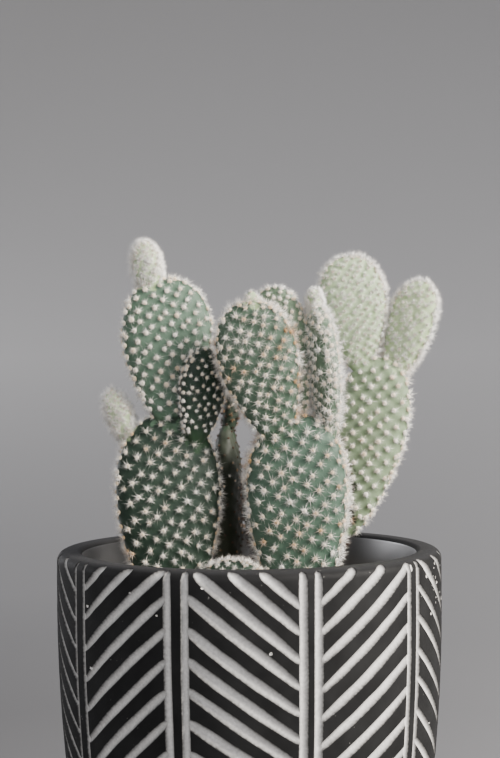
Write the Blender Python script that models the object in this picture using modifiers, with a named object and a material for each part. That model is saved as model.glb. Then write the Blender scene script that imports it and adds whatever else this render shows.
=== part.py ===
"""Bunny ear cactus in a straight-sided ceramic pot: five stems of flattened pads, planted in soil.

Lengths are in millimetres and angles in degrees, and a mesh is made in metres.
The origin is the middle of the pot's base, with +Z up and the side that is looked at towards -Y.
"""
import math
from collections import namedtuple

import bmesh
import bpy
import numpy as np
from mathutils import Matrix, Vector

MM = 0.001

# The pot: an upright wall, thinnest at the rim, that draws in towards a rounded foot
POT_HEIGHT = 115.0
RIM_RADIUS = 60.0
WALL = 7.5
FLARE = 2.0
FLARE_DEPTH = 14.5
RIM_ROUNDING = 2.8
MOUTH_ROUNDING = 1.6
UPRIGHT_DEPTH = 15.0
TAPER = 0.001
FOOT_ROUNDING = 8.0
BASE_THICKNESS = 8.0
FLOOR_ROUNDING = 6.0
WALL_LEVELS = (100.5, 57.5, 14.0)
TURN_STEPS = 50

# The carving: ten pairs of upright grooves. In the panel after each pair, slanted grooves run
# from pair to pair, a high pitch apart at their high ends and a low pitch apart at their low ends.
PANELS = 10
FIRST_PAIR = -55.6
PAIR_SHIFTS = (0.6, -0.1, -0.1, -0.8, 0.3, -0.4, 0.5, -0.2, 0.4, -0.3)
PAIR_GAPS = (5.4, 5.5, 3.9, 4.8, 5.0, 4.6, 5.2, 4.4, 5.3, 4.9)
HIGH_PITCHES = (8.3, 8.25, 8.9, 8.8, 8.4, 8.2, 8.6, 8.3, 8.5, 8.4)
LOW_PITCHES = (8.7, 7.4, 8.0, 8.5, 8.3, 8.6, 8.2, 8.5, 8.3, 8.4)
RISES = (26.7, 25.4, 25.5, 26.0, 25.0, 26.2, 25.4, 26.0, 25.2, 26.4)
FIRST_SLANT = 115.6
SLANTS_ABOVE = 3
SLANTS = 18
GROOVE_WIDTH = 2.6
GROOVE_DEPTH = 0.85
SLANT_REACH = 1.7
CARVED_TOP = 114.0
CARVED_FOOT = 10.0
UPRIGHT_LEVELS = (10.0, 12.0, 34.0, 57.0, 80.0, 112.0, 114.0)
PAIR_COLUMNS = 6
PANEL_SHARES = (0.13, 0.5, 0.87)
COLUMNS = PAIR_COLUMNS + len(PANEL_SHARES)
SHARP_ANGLE = 24

# The soil: one plug with a lumpy top and a pocket for each stem
FIT_GAP = 0.35
SOIL_LEVEL = 100.5
SOIL_LUMP = 0.9
SOIL_RINGS = 4
POCKET_GAP = 0.6
POCKET_SEGMENTS = 16
POCKET_RINGS = 8

# The pads: flattened eggs with a tuft of short bristles on each areole
SECTION_POWER = 2.5
EDGE_SHARE = 0.45
TUFT_FOOT_SHARE = 0.17
TUFT_FOOT_MAX = 0.85
TUFT_JITTER = 0.18
TUFT_SOIL_CLEARANCE = 3.0
GOLDEN_TURN = (math.sqrt(5) - 1) / 2
ARC_SAMPLES = 181

# base is where a pad starts. lean tips it to the right, back tips it away and turn spins it
# about its own length. egg moves its widest place up. spacing is from areole to areole.
Pad = namedtuple("Pad", "base length width thickness lean back turn egg spacing tuft")

PLANTS = {
    "cactus_left": [
        Pad((-23.0, -20.0, 93.0), 64.5, 31.0, 11.0, -1.7, 2, 8, 0.36, 6.9, 3.2),
        Pad((-23.4, -19.3, 152.8), 46.2, 27.0, 9.5, -2.0, 6, 10, 0.36, 6.3, 2.4),
        Pad((-15.8, -20.0, 148.0), 29.4, 15.6, 7.0, 7.5, 0, 38, 0.30, 5.0, 1.8),
        Pad((-29.0, -15.2, 193.0), 17.8, 7.8, 6.6, -9.7, 5, 0, 0.12, 3.4, 1.7),
        Pad((-35.2, -18.2, 147.6), 18.4, 6.8, 6.0, -22.0, 6, 0, 0.12, 3.4, 1.7),
    ],
    "cactus_middle": [
        Pad((14.7, -24.0, 93.0), 64.4, 29.3, 11.0, -0.4, 0, -6, 0.36, 6.9, 3.2),
        Pad((9.7, -24.8, 147.9), 44.0, 23.4, 9.0, -14.2, -6, 0, 0.36, 6.1, 2.4),
        Pad((14.6, -21.2, 151.8), 45.0, 18.0, 8.0, -9.5, 8, -20, 0.30, 6.1, 2.0),
        Pad((24.4, -22.0, 148.6), 41.4, 17.6, 7.8, -5.7, 2, -74, 0.22, 5.9, 2.0),
        Pad((2.1, -29.0, 187.0), 6.8, 3.6, 3.6, -9.0, 0, 0, 0.10, 2.1, 1.2),
        Pad((20.8, -21.0, 186.8), 8.0, 4.2, 4.4, -7.0, 2, 0, 0.10, 2.3, 1.5),
    ],
    "cactus_right": [
        Pad((15.5, 17.0, 93.0), 61.0, 36.0, 12.0, 1.0, 2, 0, 0.26, 7.6, 3.2),
        Pad((29.6, 19.0, 115.4), 61.4, 25.2, 10.0, 15.0, 4, -12, 0.24, 6.9, 2.8),
        Pad((37.9, 23.9, 169.1), 39.8, 21.4, 8.0, -6.6, 2, 8, 0.36, 5.9, 2.0),
        Pad((47.2, 23.9, 165.0), 36.8, 14.4, 7.0, 18.0, 2, -20, 0.32, 5.5, 2.0),
    ],
    "cactus_back": [
        Pad((-7.3, 34.0, 92.0), 60.6, 19.0, 9.5, 0.0, 0, 80, 0.26, 6.9, 2.8),
        Pad((-7.5, 34.0, 147.6), 17.8, 5.6, 5.0, 10.5, 0, 20, 0.20, 3.6, 1.8),
    ],
    "cactus_front": [
        Pad((-5.1, -38.3, 93.0), 22.6, 21.4, 8.0, -0.6, 3, 0, 0.16, 5.7, 2.4),
    ],
}


def material(name, colour, roughness):
    """Plain Principled surface."""
    made = bpy.data.materials.new(name)
    made.use_nodes = True
    surface = made.node_tree.nodes["Principled BSDF"]
    surface.inputs["Base Color"].default_value = (*colour, 1)
    surface.inputs["Roughness"].default_value = roughness
    surface.inputs["Metallic"].default_value = 0
    return made


def collection(name):
    made = bpy.data.collections.new(name)
    bpy.context.scene.collection.children.link(made)
    return made


def mesh_object(name, mesh, home, materials):
    made = bpy.data.objects.new(name, mesh)
    for surface in materials:
        mesh.materials.append(surface)
    home.objects.link(made)
    return made


def evaluated_mesh(source):
    """The mesh of an object with its modifiers applied."""
    depsgraph = bpy.context.evaluated_depsgraph_get()
    return bpy.data.meshes.new_from_object(source.evaluated_get(depsgraph))


def arc(centre, radius, start, end, steps):
    """Points on a round corner in the profile's plane, both ends included."""
    angles = np.radians(np.linspace(start, end, steps + 1))
    return [(centre[0] + radius * math.cos(a), centre[1] + radius * math.sin(a)) for a in angles]


def outer_radius(height):
    """Radius of the pot's outside: rounded at the rim, upright, then drawn in ever faster."""
    over = max(0.0, height - POT_HEIGHT + RIM_ROUNDING)
    below = max(0.0, POT_HEIGHT - height - UPRIGHT_DEPTH)
    rounding = RIM_ROUNDING - math.sqrt(max(0.0, RIM_ROUNDING ** 2 - over ** 2))
    return RIM_RADIUS - rounding - TAPER * below ** 2


def inner_radius(height):
    """Radius of the pot's inside, which flares out towards the rim."""
    depth = max(0.0, POT_HEIGHT - height)
    below = max(0.0, depth - UPRIGHT_DEPTH)
    return RIM_RADIUS - WALL - FLARE * min(1.0, depth / FLARE_DEPTH) - TAPER * below ** 2


def inside_profile():
    """From the middle of the floor, up the inside and over the rim to the top of the carving."""
    floor_z = BASE_THICKNESS + FLOOR_ROUNDING
    mouth_z = POT_HEIGHT - MOUTH_ROUNDING
    rim_z = POT_HEIGHT - RIM_ROUNDING
    carved_angle = math.degrees(math.asin((CARVED_TOP - rim_z) / RIM_ROUNDING))
    profile = [(0.0, BASE_THICKNESS)]
    profile += arc((inner_radius(floor_z) - FLOOR_ROUNDING, floor_z), FLOOR_ROUNDING, -90, 0, 2)[:-1]
    profile += [(inner_radius(height), height) for height in reversed(WALL_LEVELS)]
    profile += arc((inner_radius(mouth_z) + MOUTH_ROUNDING, mouth_z), MOUTH_ROUNDING, 180, 90, 2)
    profile += arc((RIM_RADIUS - RIM_ROUNDING, rim_z), RIM_ROUNDING, 90, carved_angle, 2)[:-1]
    return profile


def foot_profile():
    """From below the carving round the foot to the middle of the base."""
    corner = (outer_radius(FOOT_ROUNDING) - FOOT_ROUNDING, FOOT_ROUNDING)
    return arc(corner, FOOT_ROUNDING, 0, -90, 3) + [(0.0, 0.0)]


def pair_azimuths(pair):
    """Azimuths across a pair of upright grooves: edge, bottom and edge of each."""
    middle = FIRST_PAIR + PAIR_SHIFTS[pair % PANELS] + 360 / PANELS * pair
    gap = PAIR_GAPS[pair % PANELS]
    return [middle + math.degrees((groove * gap + edge * GROOVE_WIDTH) / 2 / RIM_RADIUS)
            for groove in (-1, 1) for edge in (-1, 0, 1)]


def slant_height(panel, number, share):
    """Height of a slanted groove's middle, a share of the way across its panel."""
    high = FIRST_SLANT - number * HIGH_PITCHES[panel]
    low = FIRST_SLANT - RISES[panel] - number * LOW_PITCHES[panel]
    return low + (high - low) * (share if panel % 2 == 0 else 1 - share)


def slant_row(panel, share, row):
    """Height and depth where a mesh row crosses a panel. Three rows run along each groove."""
    if row == 0:
        return CARVED_TOP, 0.0
    if row > 3 * SLANTS:
        return CARVED_FOOT, 0.0
    number, part = divmod(row - 1, 3)
    open_groove = 0 < share < 1
    height = slant_height(panel % PANELS, number - SLANTS_ABOVE, share) + (1 - part) * SLANT_REACH * open_groove
    held = min(CARVED_TOP, max(CARVED_FOOT, height))
    return held, GROOVE_DEPTH if part == 1 and open_groove and held == height else 0.0


def carved_spot(column, row):
    """Azimuth, height and depth of a mesh point on the carved wall."""
    pair, place = divmod(column, COLUMNS)
    azimuths = pair_azimuths(pair)
    if place == 0:
        return (azimuths[0], *slant_row(pair - 1, 1, row))
    if place >= PAIR_COLUMNS - 1:
        share = (0, *PANEL_SHARES)[place - PAIR_COLUMNS + 1]
        across = pair_azimuths(pair + 1)[0] - azimuths[-1]
        return (azimuths[-1] + share * across, *slant_row(pair, share, row))
    beside = (slant_row(pair - 1, 1, row)[0] + slant_row(pair, 0, row)[0]) / 2
    level = min(UPRIGHT_LEVELS, key=lambda height: abs(height - beside))
    at_bottom = place in (1, 4) and CARVED_FOOT < level < CARVED_TOP
    return azimuths[place], level, GROOVE_DEPTH if at_bottom else 0.0


def plain_azimuth(column):
    """Azimuth of a mesh column away from the carving, where the steps are even."""
    pair, place = divmod(column, COLUMNS)
    step = place // 3 if place < PAIR_COLUMNS else place - PAIR_COLUMNS + 2
    return FIRST_PAIR + 360 / TURN_STEPS * (pair * TURN_STEPS / PANELS + step - 0.5)


def pot(home, surface):
    """The pot: a grid wrapped round its profile, with the points that fall together merged."""
    inside_part, foot_part = inside_profile(), foot_profile()
    carved_end = len(inside_part) + 3 * SLANTS + 2
    rows = carved_end + len(foot_part)
    columns = PANELS * COLUMNS
    shape = bmesh.new()
    bmesh.ops.create_grid(shape, x_segments=columns, y_segments=rows - 1, size=1)
    for vertex in shape.verts:
        column = round((vertex.co.x + 1) / 2 * columns) % columns
        row = round((1 - vertex.co.y) / 2 * (rows - 1))
        if len(inside_part) <= row < carved_end:
            azimuth, height, depth = carved_spot(column, row - len(inside_part))
            radius = outer_radius(height) - depth
        else:
            azimuth = plain_azimuth(column)
            radius, height = inside_part[row] if row < carved_end else foot_part[row - carved_end]
        angle = math.radians(azimuth)
        vertex.co = Vector((radius * math.sin(angle), -radius * math.cos(angle), height)) * MM
    bmesh.ops.remove_doubles(shape, verts=shape.verts, dist=0.01 * MM)
    bmesh.ops.recalc_face_normals(shape, faces=shape.faces)
    bmesh.ops.triangulate(shape, faces=shape.faces)
    mesh = bpy.data.meshes.new("pot")
    shape.to_mesh(mesh)
    shape.free()
    mesh.shade_smooth()
    mesh.set_sharp_from_angle(angle=math.radians(SHARP_ANGLE))
    return mesh_object("pot", mesh, home, [surface])


def soil_profile():
    """From the middle of the top, out to the wall and down beside it to the floor."""
    floor_z = BASE_THICKNESS + FIT_GAP
    corner_z = BASE_THICKNESS + FLOOR_ROUNDING
    edge = inner_radius(SOIL_LEVEL) - FIT_GAP
    profile = [(radius, SOIL_LEVEL) for radius in np.linspace(0, edge, SOIL_RINGS + 1)]
    profile += [(inner_radius(height) - FIT_GAP, height) for height in WALL_LEVELS[1:-1]]
    corner = (inner_radius(corner_z) - FLOOR_ROUNDING, corner_z)
    profile += arc(corner, FLOOR_ROUNDING - FIT_GAP, 0, -90, 2)
    profile.append((0.0, floor_z))
    return profile


def turned(name, profile, home, surface):
    """A profile turned about Z. Its outer side runs down, so its faces point out."""
    mesh = bpy.data.meshes.new(name)
    points = [(radius * MM, 0, height * MM) for radius, height in profile]
    mesh.from_pydata(points, [(i, i + 1) for i in range(len(points) - 1)], [])
    made = mesh_object(name, mesh, home, [surface])
    screw = made.modifiers.new("turn", "SCREW")
    screw.steps = TURN_STEPS
    screw.render_steps = TURN_STEPS
    screw.use_merge_vertices = True
    screw.merge_threshold = 0.00001
    screw.use_smooth_shade = True
    return made


def lump(x, y):
    """Height of the soil's top above its level, in millimetres."""
    return SOIL_LUMP * (0.6 * math.sin(x / 5.3 + 1.1) * math.cos(y / 6.1) + 0.4 * math.sin((x - 1.7 * y) / 7.9))


def girth(phi, egg):
    """Share of a pad's full width, from the base at phi 0 to the tip at phi pi."""
    return np.sin(phi) * (1 - egg * np.cos(phi)) / (1 + 0.48 * egg ** 2)


def half_sizes(pad, phi):
    """Half the width and half the thickness of a pad's section."""
    width = pad.width / 2 * girth(phi, pad.egg)
    thickness = pad.thickness / 2 * ((1 - EDGE_SHARE) * girth(phi, pad.egg) + EDGE_SHARE * np.sin(phi))
    return width, thickness


def section(pad, phi, angles):
    """Points round a pad's section in the pad's own frame, whose Z runs from base to tip."""
    width, thickness = half_sizes(pad, phi)
    c, s = np.cos(angles), np.sin(angles)
    x = width * np.sign(c) * np.abs(c) ** (2 / SECTION_POWER)
    y = thickness * np.sign(s) * np.abs(s) ** (2 / SECTION_POWER)
    z = np.full_like(x, pad.length / 2 * (1 - math.cos(phi)))
    return np.stack([x, y, z], axis=1)


def placing(pad):
    """Matrix from a pad's own frame to the pot's, in millimetres."""
    lean = Matrix.Rotation(math.radians(pad.lean), 4, "Y")
    back = Matrix.Rotation(-math.radians(pad.back), 4, "X")
    turn = Matrix.Rotation(math.radians(pad.turn), 4, "Z")
    return Matrix.Translation(pad.base) @ lean @ back @ turn


def inside(pad, point):
    """Whether a point of the pot's frame lies in a pad."""
    local = placing(pad).inverted() @ Vector(point)
    along = 1 - 2 * local.z / pad.length
    if abs(along) >= 1:
        return False
    width, thickness = half_sizes(pad, math.acos(along))
    return abs(local.x / width) ** SECTION_POWER + abs(local.y / thickness) ** SECTION_POWER < 1


def areole_points(pad, rng):
    """Areoles in crossing spirals, each a golden turn on and with an equal share of the skin."""
    phis = np.linspace(0, math.pi, ARC_SAMPLES)
    angles = np.linspace(0, 2 * math.pi, ARC_SAMPLES)
    rings = [section(pad, phi, angles) for phi in phis]
    steps = [np.linalg.norm(np.diff(ring, axis=0), axis=1) for ring in rings]
    around = [np.concatenate([[0], np.cumsum(step)]) for step in steps]
    slope = np.linalg.norm(np.diff([ring[0] for ring in rings], axis=0), axis=1)
    bands = slope * np.convolve([walk[-1] for walk in around], [0.5, 0.5], mode="valid")
    covered = np.concatenate([[0], np.cumsum(bands)])
    count = round(covered[-1] / (pad.spacing ** 2 * math.sin(math.pi / 3)))
    points = []
    for i in range(count):
        phi = np.interp((i + 0.5) / count * covered[-1], covered, phis)
        walk = around[min(int(phi / math.pi * (ARC_SAMPLES - 1)), ARC_SAMPLES - 1)]
        share = (i * GOLDEN_TURN + rng.normal(0, 0.002)) % 1
        angle = np.interp(share * walk[-1], walk, angles)
        points.append(section(pad, phi, np.array([angle]))[0])
    return points


def bears_tuft(pad, point, normal, others):
    """Whether an areole is in the open: above the soil and clear of the plant's other pads."""
    frame = placing(pad)
    foot = frame @ point
    tip = frame @ (point + normal * pad.tuft)
    above_soil = min(foot.z, tip.z) > SOIL_LEVEL + TUFT_SOIL_CLEARANCE
    return above_soil and not any(inside(other, end) for other in others for end in (foot, tip))


def pad_mesh(name, pad, others, rng):
    """A pad's skin stretched over its areoles, with a spike of bristles raised on each open one."""
    mesh = bmesh.new()
    for point in areole_points(pad, rng):
        mesh.verts.new(point)
    hull = bmesh.ops.convex_hull(mesh, input=mesh.verts[:])
    loose = [part for part in hull["geom_interior"] if isinstance(part, bmesh.types.BMVert)]
    bmesh.ops.delete(mesh, geom=loose, context="VERTS")
    bmesh.ops.recalc_face_normals(mesh, faces=mesh.faces)
    mesh.normal_update()
    open_areoles = [v for v in mesh.verts if bears_tuft(pad, v.co, v.normal, others)]
    foot = min(TUFT_FOOT_MAX, TUFT_FOOT_SHARE * pad.spacing)
    bevelled = bmesh.ops.bevel(mesh, geom=open_areoles, offset=foot, segments=1, affect="VERTICES")
    tufts = bmesh.ops.poke(mesh, faces=bevelled["faces"], offset=pad.tuft)
    for face in tufts["faces"]:
        face.material_index = 1
    mesh.normal_update()
    for tip in tufts["verts"]:
        tip.co += tip.normal * pad.tuft * rng.normal(0, TUFT_JITTER)
    bmesh.ops.triangulate(mesh, faces=mesh.faces)
    bmesh.ops.scale(mesh, vec=(MM, MM, MM), verts=mesh.verts)
    made = bpy.data.meshes.new(name)
    mesh.to_mesh(made)
    mesh.free()
    return made


def placed(made, pad):
    """Sets an object at its pad's base, turned as the pad is."""
    frame = placing(pad)
    made.location = frame.translation * MM
    made.rotation_euler = frame.to_euler()
    return made


def plant(name, pads, home, surfaces, rng):
    """One stem system: its pads grown into one body by a Boolean union."""
    pieces = collection(name + "_pads")
    stem = None
    for number, pad in enumerate(pads):
        others = pads[:number] + pads[number + 1:]
        label = name if stem is None else f"{name}_pad_{number}"
        mesh = pad_mesh(label, pad, others, rng)
        made = placed(mesh_object(label, mesh, home if stem is None else pieces, surfaces), pad)
        stem = stem or made
    if pieces.objects:
        union = stem.modifiers.new("grown together", "BOOLEAN")
        union.operation = "UNION"
        union.operand_type = "COLLECTION"
        union.collection = pieces
        union.solver = "EXACT"
        grown = evaluated_mesh(stem)
        stem.modifiers.clear()
        stem.data = grown
    for piece in pieces.objects[:]:
        bpy.data.objects.remove(piece)
    bpy.data.collections.remove(pieces)
    return stem


def pocket(number, pad, home):
    """Cutter for the soil: a planted pad's shape, a little larger all round."""
    bigger = pad._replace(length=pad.length + 2 * POCKET_GAP, width=pad.width + 2 * POCKET_GAP,
                          thickness=pad.thickness + 2 * POCKET_GAP)
    shape = bmesh.new()
    bmesh.ops.create_uvsphere(shape, u_segments=POCKET_SEGMENTS, v_segments=POCKET_RINGS, radius=1)
    for vertex in shape.verts:
        phi = math.acos(max(-1.0, min(1.0, -vertex.co.z)))
        angle = math.atan2(vertex.co.y, vertex.co.x)
        spot = section(bigger, phi, np.array([angle]))[0]
        vertex.co = Vector(spot) - Vector((0, 0, POCKET_GAP))
    bmesh.ops.scale(shape, vec=(MM, MM, MM), verts=shape.verts)
    mesh = bpy.data.meshes.new(f"pocket_{number}")
    shape.to_mesh(mesh)
    shape.free()
    made = placed(mesh_object(mesh.name, mesh, home, []), pad)
    made.hide_render = True
    made.display_type = "WIRE"
    return made


def soil(home, cutters, surface):
    """The plug of soil: turned, its top made lumpy, then cut by the stems' pockets."""
    made = turned("soil", soil_profile(), home, surface)
    made.data = evaluated_mesh(made)
    made.modifiers.clear()
    start = FIRST_PAIR - 180 / TURN_STEPS - 90
    made.data.transform(Matrix.Rotation(math.radians(start), 4, "Z"))
    for vertex in made.data.vertices:
        x, y, z = vertex.co / MM
        if z > SOIL_LEVEL - FIT_GAP:
            vertex.co.z += lump(x, y) * MM
    cut = made.modifiers.new("pockets", "BOOLEAN")
    cut.operation = "DIFFERENCE"
    cut.operand_type = "COLLECTION"
    cut.collection = cutters
    cut.solver = "EXACT"
    return made


def main():
    for old in bpy.data.objects[:]:
        bpy.data.objects.remove(old)
    parts = collection("potted_cactus")
    cutters = collection("cutters")
    slip = material("black slip", (0.03, 0.03, 0.032), 0.45)
    earth = material("potting soil", (0.05, 0.036, 0.026), 0.95)
    skin = material("cactus skin", (0.06, 0.14, 0.07), 0.55)
    bristles = material("bristles", (0.78, 0.72, 0.62), 0.8)
    rng = np.random.default_rng(11)

    pot(parts, slip)
    for name, pads in PLANTS.items():
        plant(name, pads, parts, [skin, bristles], rng)
        pocket(len(cutters.objects), pads[0], cutters)
    soil(parts, cutters, earth)


main()
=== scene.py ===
"""Looks of the potted bunny ear cactus: carved pot, potting mix, pads and their bristles.

Lengths are in millimetres and angles in degrees until a mesh is placed, which is in metres.
"""
import math
from collections import namedtuple

import bpy
import numpy as np
from mathutils import Matrix, Vector, kdtree, noise


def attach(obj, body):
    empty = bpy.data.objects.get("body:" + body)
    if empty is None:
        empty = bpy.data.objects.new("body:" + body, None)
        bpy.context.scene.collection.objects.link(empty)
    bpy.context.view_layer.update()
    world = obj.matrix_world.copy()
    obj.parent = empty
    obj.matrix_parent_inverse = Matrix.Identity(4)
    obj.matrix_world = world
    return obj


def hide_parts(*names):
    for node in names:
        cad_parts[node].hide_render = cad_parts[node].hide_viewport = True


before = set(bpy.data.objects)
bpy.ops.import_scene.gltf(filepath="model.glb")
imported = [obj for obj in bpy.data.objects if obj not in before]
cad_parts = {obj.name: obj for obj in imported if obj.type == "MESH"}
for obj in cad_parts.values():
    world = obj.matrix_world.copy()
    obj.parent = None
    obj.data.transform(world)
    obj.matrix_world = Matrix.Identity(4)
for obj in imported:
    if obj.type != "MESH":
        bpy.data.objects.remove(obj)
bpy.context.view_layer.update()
MM = 0.001

# The photograph's view: a camera a little above the rim, almost level
FOCAL_PIXELS = 1419.0
PHOTO_HEIGHT = 758
SENSOR = 36.0
CAMERA_BACK = 447.0
CAMERA_ABOVE_RIM = 51.1
CAMERA_TIP = 0.24
CAMERA_ROLL = 0.41
CAMERA_ASIDE = 0.085

# The pot's turned shape
POT_HEIGHT = 115.0
RIM_RADIUS = 60.0
WALL = 7.5
RIM_ROUNDING = 2.8
MOUTH_ROUNDING = 1.6
FLARE = 2.0
FLARE_DEPTH = 14.5
UPRIGHT_DEPTH = 15.0
TAPER = 0.001
FOOT_ROUNDING = 8.0
BASE_THICKNESS = 8.0
FLOOR_ROUNDING = 6.0
POT_SIDES = 180
WALL_STEP = 2.5
ROUNDING_STEPS = 6

# The carving: pairs of upright lines, and slanted lines that rise to every other pair
PANELS = 10
FIRST_PAIR = -55.6
PAIR_SHIFTS = (0.0, -0.3, 0.1, 0.2, 0.3, -0.4, 0.5, -0.2, 0.4, -0.3)
PAIR_GAPS = (4.9, 5.35, 4.5, 4.6, 5.0, 4.6, 5.2, 4.4, 5.3, 4.9)
PAIR_TOPS = (114.9, 114.97, 114.85, 114.9, 114.8, 114.9, 114.8, 114.9, 114.8, 114.9)
FIRST_SLANTS = (116.2, 116.9, 114.7, 116.9, 115.6, 115.4, 116.0, 115.2, 115.8, 115.5)
HIGH_PITCHES = (8.55, 8.6, 8.9, 9.05, 8.4, 8.2, 8.6, 8.3, 8.5, 8.4)
LOW_PITCHES = (8.8, 7.4, 8.0, 8.7, 8.3, 8.6, 8.2, 8.5, 8.3, 8.4)
RISES = (26.5, 27.2, 25.5, 26.3, 25.0, 26.2, 25.4, 26.0, 25.2, 26.4)
SLANTS_ABOVE = 3
SLANTS_BELOW = 15
CARVED_TOP = 114.88
CARVED_FOOT = 10.0
SHORTEST_RISE = 4.5
UPRIGHT_WIDTHS = (1.7, 2.6, 2.9, 2.4, 2.6, 2.5, 2.7, 2.6, 2.5, 2.6)
SLANT_WIDTHS = (3.0, 3.8, 3.4, 2.8, 3.1, 2.9, 3.2, 3.0, 3.1, 2.5)
CUT_DEPTH = 1.05
CUT_OUTSIDE = 0.8
# Depths under the skin over which the carving goes from black to bare clay: slip near the edge, painted
# shade deeper down
SLIP_DEPTH = 0.1
SLIP_AND_SHADE_DEPTH = 1.1
SWAY = 0.18
WOBBLE = 0.05

# How much thinner a line is at its ends, and how far that reaches into it
UPRIGHT_THINNING = 0.08
JOINED_FOOT_THINNING = 0.4
CUT_OFF_FOOT_THINNING = 0.1
JOINED_HEAD_THINNING = 0.25
START_REACH = 8.5
END_REACH = 6.5

# Flakes knocked off the slip: azimuth, height and size of those that the photograph shows, and the
# middle and spread of a patch of wear near the rim
CHIP_SPOTS = (
    (-51.1, 102.7, 0.55), (-50.0, 84.9, 0.6), (-34.0, 108.1, 0.35), (-25.4, 102.4, 0.4), (43.0, 99.9, 0.6),
    (5.5, 92.6, 0.7), (51.2, 113.1, 1.4), (64.7, 65.2, 0.5), (-12.5, 110.5, 0.4), (60.4, 109.6, 0.6),
)
WORN_PATCH = (66.0, 106.0, 5.0, 3.2)
WORN_CHIPS = 28
WORN_CHIP_SIZES = (0.15, 0.5)
STRAY_CHIPS = 22
STRAY_CHIP_SIZES = (0.25, 0.65)
CHIPS_BELOW = 113.5
CHIP_DEPTH = 0.6

# The pads, as in the solids but with their areoles at true spacing. A pad has its base, length, width and
# thickness, its lean to the right and back and its turn, how far it widens towards the tip, its areoles'
# spacing, its tufts' size and brush, and how aged, waxy and rusty it is, from 0 to 1. Waxiness is partly
# painted light: pads in shade get less of it and so a darker skin. High rust is painted shade: from 0.3 it
# darkens a pad's skin, fully at 0.8, and it browns the pad's tufts.
SECTION_POWER = 2.5
EDGE_SHARE = 0.45
GOLDEN_TURN = (math.sqrt(5) - 1) / 2
MARGIN_SPACING = 0.5
MARGIN_ZIGZAG = 0.15
MARGIN_CLEARANCE = 0.42
ARC_SAMPLES = 181
SKIN_STEP = 0.85
Pad = namedtuple("Pad", "base length width thickness lean back turn egg spacing tuft age bloom rust brush")
STEMS = {
    "cactus_left": [
        Pad((-23.0, -20.0, 93.0), 64.5, 31.0, 11.0, -1.7, 2, 8, 0.36, 4.05, 0.88, 1.0, 0.0, 0.15, "star"),
        Pad((-23.4, -19.3, 152.8), 46.2, 27.0, 9.5, -2.0, 6, 10, 0.36, 3.45, 1.0, 0.97, 0.5, 0.12, "ball"),
        Pad((-15.8, -20.0, 148.0), 29.4, 15.6, 7.0, 7.5, 0, 38, 0.3, 2.7, 0.67, 1.0, 0.0, 0.1, "ball"),
        Pad((-29.0, -15.2, 193.0), 17.2, 7.8, 6.6, -9.7, 5, 0, 0.12, 1.75, 0.75, 0.0, 0.5, 0.0, "down"),
        Pad((-35.2, -18.2, 147.6), 18.4, 6.8, 6.0, -22.0, 6, 0, 0.12, 1.75, 0.75, 0.0, 0.5, 0.0, "down"),
    ],
    "cactus_middle": [
        Pad((14.7, -24.0, 93.0), 64.4, 29.3, 11.0, -0.4, 0, -6, 0.36, 4.05, 1.0, 1.0, 0.5, 0.2, "star"),
        Pad((9.7, -24.8, 147.9), 44.0, 23.4, 9.0, -14.2, -6, 0, 0.36, 3.25, 0.9, 0.97, 0.32, 0.22, "star"),
        Pad((14.6, -21.2, 151.8), 45.0, 18.0, 8.0, -9.5, 8, -20, 0.3, 2.5, 0.85, 0.8, 0.6, 0.05, "ball"),
        Pad((24.4, -22.0, 148.6), 41.4, 17.6, 7.8, -5.7, 2, -74, 0.22, 3.0, 0.97, 0.9, 0.48, 0.0, "star"),
        Pad((2.1, -29.0, 187.0), 6.8, 3.6, 3.6, -9.0, 0, 0, 0.1, 2.0, 0.62, 0.0, 0.5, 0.0, "star"),
        Pad((20.8, -21.0, 186.8), 8.0, 4.2, 4.4, -7.0, 2, 0, 0.1, 1.3, 0.56, 0.0, 1.0, 0.0, "down"),
    ],
    "cactus_right": [
        Pad((15.5, 17.0, 93.0), 61.0, 36.0, 12.0, 1.0, 2, 0, 0.26, 4.2, 0.9, 1.0, 0.0, 0.7, "star"),
        Pad((29.6, 19.0, 115.4), 61.4, 25.2, 10.0, 15.0, 4, -12, 0.24, 3.9, 1.07, 0.6, 0.35, 0.05, "ball"),
        Pad((37.9, 23.9, 169.1), 39.8, 21.4, 8.0, -6.6, 2, 8, 0.36, 2.5, 0.82, 0.3, 1.0, 0.0, "wool"),
        Pad((47.2, 23.9, 165.0), 36.8, 14.4, 7.0, 18.0, 2, -20, 0.32, 2.4, 0.85, 0.05, 1.0, 0.0, "wool"),
    ],
    "cactus_back": [
        Pad((-7.3, 34.0, 92.0), 60.6, 19.0, 9.5, 0.0, 0, 80, 0.26, 4.0, 0.45, 1.0, 0.0, 0.75, "ball"),
        Pad((-7.5, 34.0, 147.6), 17.8, 5.6, 5.0, 10.5, 0, 20, 0.2, 2.2, 0.5, 1.0, 0.0, 0.5, "wool"),
    ],
    "cactus_front": [
        Pad((-5.1, -38.3, 93.0), 22.6, 21.4, 8.0, -0.6, 3, 0, 0.16, 2.4, 0.62, 1.0, 0.0, 0.16, "wool"),
    ],
}
SWELLING = 0.55
SWELLING_REACH = 0.36
DIMPLING = 0.2
DIMPLE_RADIUS = 0.55
UNEVENNESS = 0.3
UNEVEN_OVER = 13.0
PUCKERING = 0.07
PUCKERED_OVER = 3.5
# Reach of the painted shade round each areole, as a share of the spacing
AREOLE_RING = 0.3
FRESH_FOOT = 7.0
# Rust over which a pad's skin goes over into painted shade, a dark olive brown, for pads that lie in shadow
PAINTED_SHADE_RUST = (0.3, 0.8)

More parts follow.
